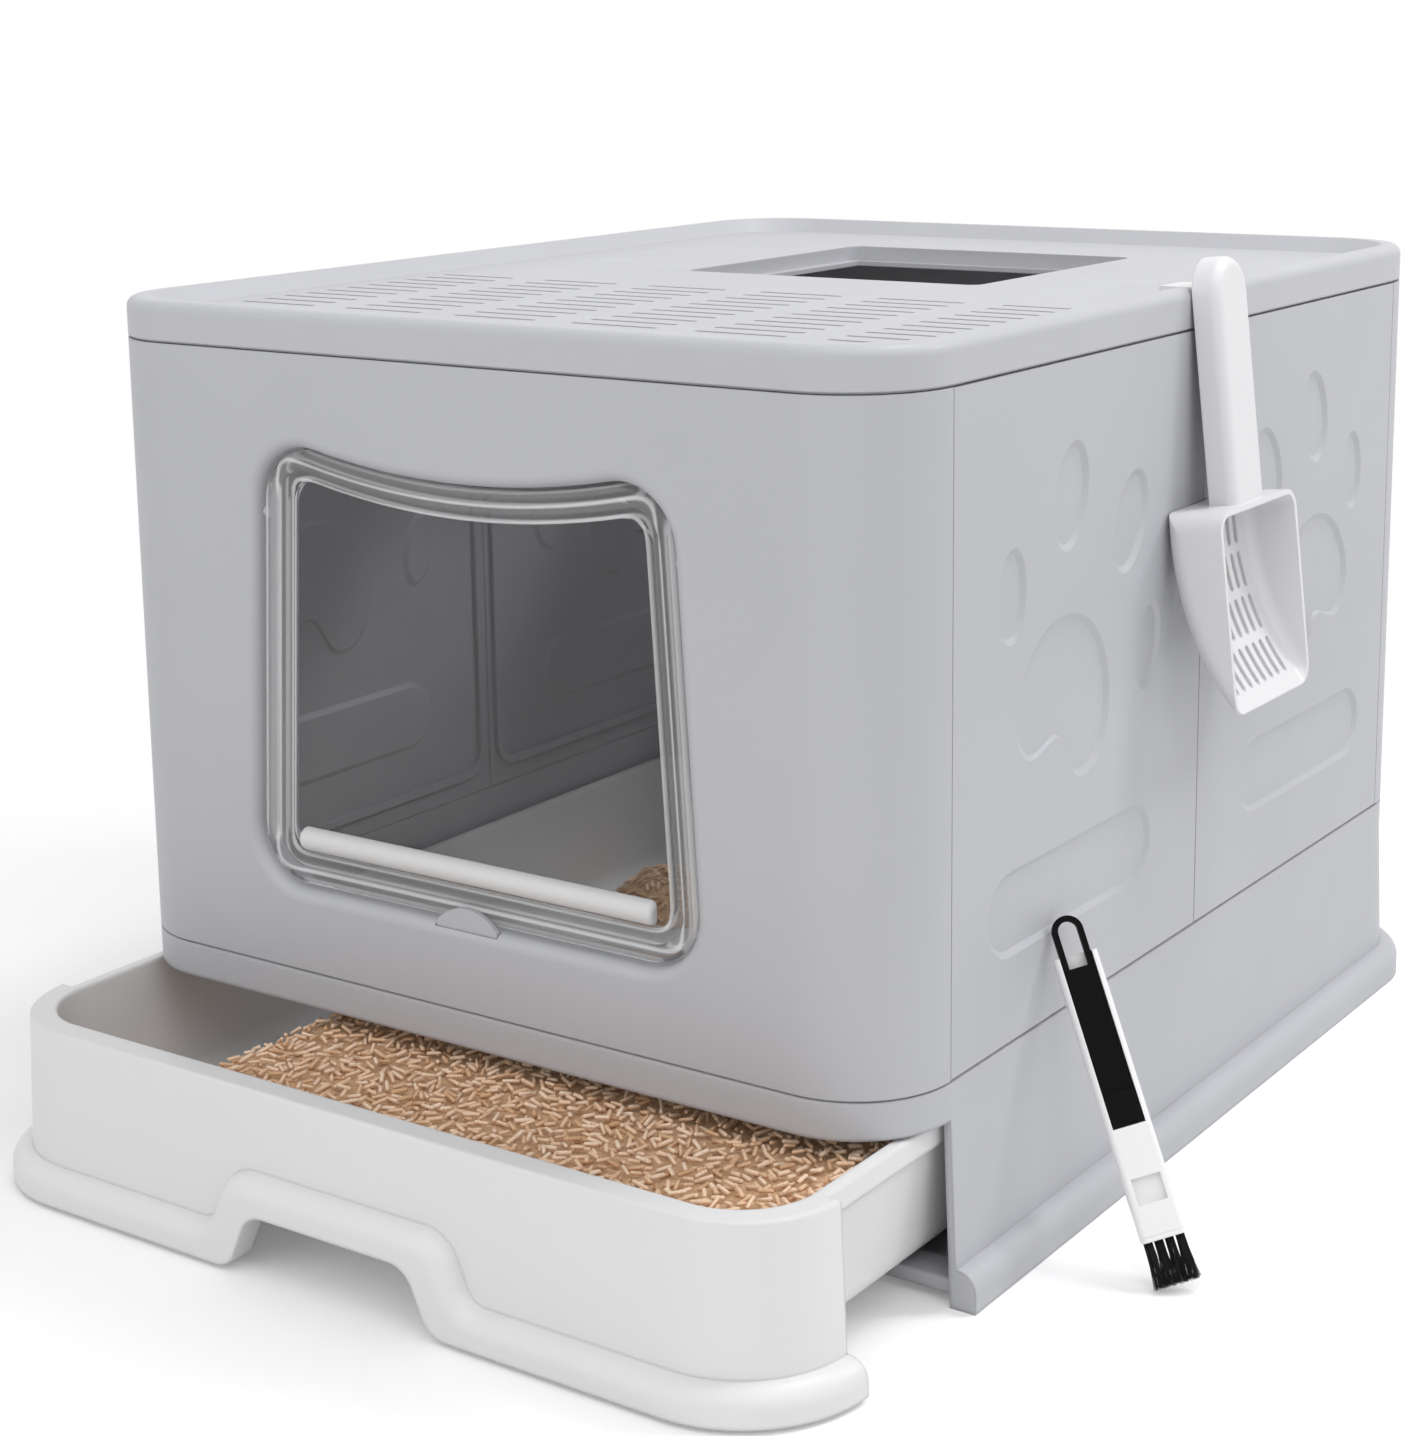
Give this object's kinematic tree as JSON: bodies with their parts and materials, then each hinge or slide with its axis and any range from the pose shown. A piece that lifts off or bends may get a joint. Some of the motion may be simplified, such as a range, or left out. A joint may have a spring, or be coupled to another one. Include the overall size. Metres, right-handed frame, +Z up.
{
  "type": "top-entry litter box",
  "caption": "Folding top-entry litter box with a slotted lid and entry hole, clear swing door, pull-out drawer tray, hung scoop and a leaning groove brush.",
  "frame": {"origin": "centre of the closed box's footprint, on the floor it stands on", "axes": "+Z up, -Y towards the door and the drawer's front, +X towards the hung scoop"},
  "size_m": [0.4781, 0.603, 0.3782],
  "materials": {
    "body_grey": "light cool grey, fine satin moulding",
    "lid_grey": "light cool grey, fine satin moulding",
    "hinge_grey": "grey rod, satin",
    "drawer_white": "white, smooth satin gloss",
    "clear_plastic": "clear, polished",
    "bar_white": "white, satin",
    "scoop_white": "white, smooth satin gloss",
    "litter_tan": "pale tan pellets, dry and matte",
    "brush_white": "white, smooth",
    "brush_black": "black, smooth",
    "bristle_black": "dark nylon strands"
  },
  "bodies": {
    "base": {"base": "body_grey", "front_panel": "body_grey", "rear_panel": "body_grey", "hinge_pin_right_front": "hinge_grey", "hinge_pin_right_rear": "hinge_grey", "hinge_pin_left_front": "hinge_grey", "hinge_pin_left_rear": "hinge_grey"},
    "lid": {"lid": "lid_grey"},
    "drawer": {"drawer_tray": "drawer_white", "litter_heap": "litter_tan", "litter_pile": "litter_tan"},
    "door": {"door_flap": "clear_plastic", "door_weight_bar": "bar_white"},
    "door_lock": {"door_lock_tab": "body_grey"},
    "wing_right_front": {"side_panel_right_front": "body_grey"},
    "wing_right_rear": {"side_panel_right_rear": "body_grey"},
    "wing_left_front": {"side_panel_left_front": "body_grey"},
    "wing_left_rear": {"side_panel_left_rear": "body_grey"},
    "scoop": {"scoop": "scoop_white"},
    "brush": {"brush_handle": "brush_white", "brush_bristles": "bristle_black"},
    "shovel": {"dust_shovel": "brush_black"}
  },
  "joints": [
    {"name": "drawer_slide", "type": "slide", "parent": "base", "child": "drawer", "axis": [0, -1, 0], "range_m": [-0.076, 0.35]},
    {"name": "lid_lift", "type": "slide", "parent": "base", "child": "lid", "axis": [0, 0, 1], "range_m": [0, 0.25]},
    {"name": "door_swing", "type": "hinge", "parent": "base", "child": "door", "pos_m": [0, -0.2448, 0.282], "axis": [-1, 0, 0], "range_deg": [-75, 0]},
    {"name": "door_lock_slide", "type": "slide", "parent": "base", "child": "door_lock", "axis": [0, 0, -1], "range_m": [0, 0.0075]},
    {"name": "fold_right_front", "type": "hinge", "parent": "base", "child": "wing_right_front", "pos_m": [0.19, -0.2105, 0.2195], "axis": [0, 0, 1], "range_deg": [0, 94]},
    {"name": "fold_right_rear", "type": "hinge", "parent": "base", "child": "wing_right_rear", "pos_m": [0.19, 0.2105, 0.2195], "axis": [0, 0, -1], "range_deg": [0, 94]},
    {"name": "fold_left_front", "type": "hinge", "parent": "base", "child": "wing_left_front", "pos_m": [-0.19, -0.2105, 0.2195], "axis": [0, 0, -1], "range_deg": [0, 88]},
    {"name": "fold_left_rear", "type": "hinge", "parent": "base", "child": "wing_left_rear", "pos_m": [-0.19, 0.2105, 0.2195], "axis": [0, 0, 1], "range_deg": [0, 88]},
    {"name": "scoop_lift", "type": "slide", "parent": "lid", "child": "scoop", "axis": [0, 0, 1], "range_m": [0, 0.2]},
    {"name": "brush_away", "type": "slide", "parent": "base", "child": "brush", "axis": [1, 0, 0], "range_m": [0, 0.15]},
    {"name": "shovel_pull", "type": "slide", "parent": "brush", "child": "shovel", "axis": [0.4998, -0.777, 0.3828], "range_m": [0, 0.03]}
  ],
  "couplings": [
    {"joint": "fold_right_rear", "follows": "fold_right_front", "ratio": 1},
    {"joint": "fold_left_rear", "follows": "fold_left_front", "ratio": 1}
  ]
}
